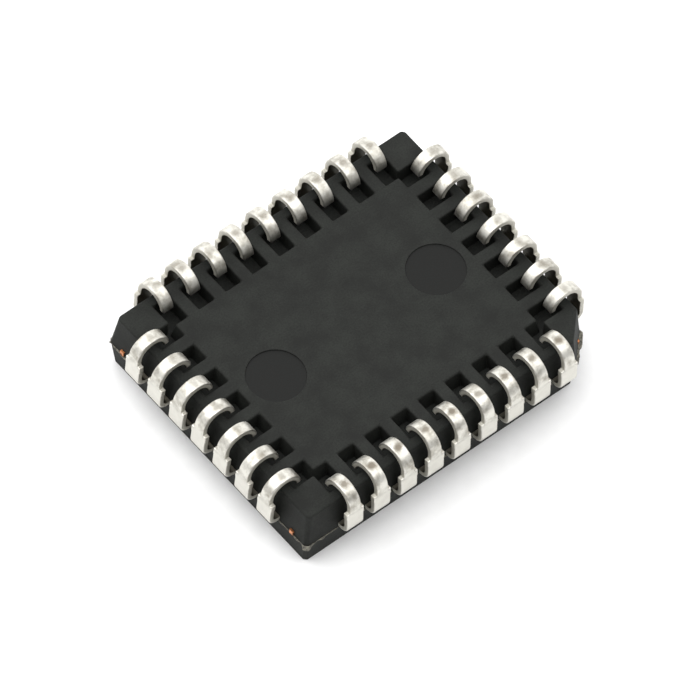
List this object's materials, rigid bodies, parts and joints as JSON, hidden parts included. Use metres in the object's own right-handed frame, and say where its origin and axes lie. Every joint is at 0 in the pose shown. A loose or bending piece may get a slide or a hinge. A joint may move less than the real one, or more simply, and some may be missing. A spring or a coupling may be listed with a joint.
{
  "type": "flash memory chip",
  "caption": "Flash memory in a rectangular plastic leaded chip carrier, lying on its marking face with its J-leads up; chamfered corner, pocketed board side.",
  "frame": {"origin": "centre of the marking face, on which the chip lies", "axes": "+X along the two sides of nine leads, towards the side whose middle lead is the first one; +Y along the two sides of seven leads, away from the chamfered corner; +Z from the marking face to the board side, out through the curled leads"},
  "size_m": [0.015, 0.0124, 0.0034],
  "materials": {
    "moulded_epoxy": "matte moulded epoxy compound, fine spark-eroded texture",
    "tinned_leads": "matte tin plating on copper alloy strip",
    "bare_copper_alloy": "bare copper alloy strip, sheared ends",
    "silver_epoxy": "silver-filled epoxy film",
    "silicon": "polished silicon",
    "gold_wire": "drawn gold wire"
  },
  "bodies": {
    "root": {"moulded_body": "moulded_epoxy", "lead_01": "tinned_leads", "lead_02": "tinned_leads", "lead_03": "tinned_leads", "lead_04": "tinned_leads", "lead_05": "tinned_leads", "lead_06": "tinned_leads", "lead_07": "tinned_leads", "lead_08": "tinned_leads", "lead_09": "tinned_leads", "lead_10": "tinned_leads", "lead_11": "tinned_leads", "lead_12": "tinned_leads", "lead_13": "tinned_leads", "lead_14": "tinned_leads", "lead_15": "tinned_leads", "lead_16": "tinned_leads", "lead_17": "tinned_leads", "lead_18": "tinned_leads", "lead_19": "tinned_leads", "lead_20": "tinned_leads", "lead_21": "tinned_leads", "lead_22": "tinned_leads", "lead_23": "tinned_leads", "lead_24": "tinned_leads", "lead_25": "tinned_leads", "lead_26": "tinned_leads", "lead_27": "tinned_leads", "lead_28": "tinned_leads", "lead_29": "tinned_leads", "lead_30": "tinned_leads", "lead_31": "tinned_leads", "lead_32": "tinned_leads", "die_paddle": "bare_copper_alloy", "die_attach": "silver_epoxy", "memory_die": "silicon", "bond_wires_right": "gold_wire", "bond_wires_front": "gold_wire", "bond_wires_left": "gold_wire", "bond_wires_back": "gold_wire"}
  },
  "joints": []
}
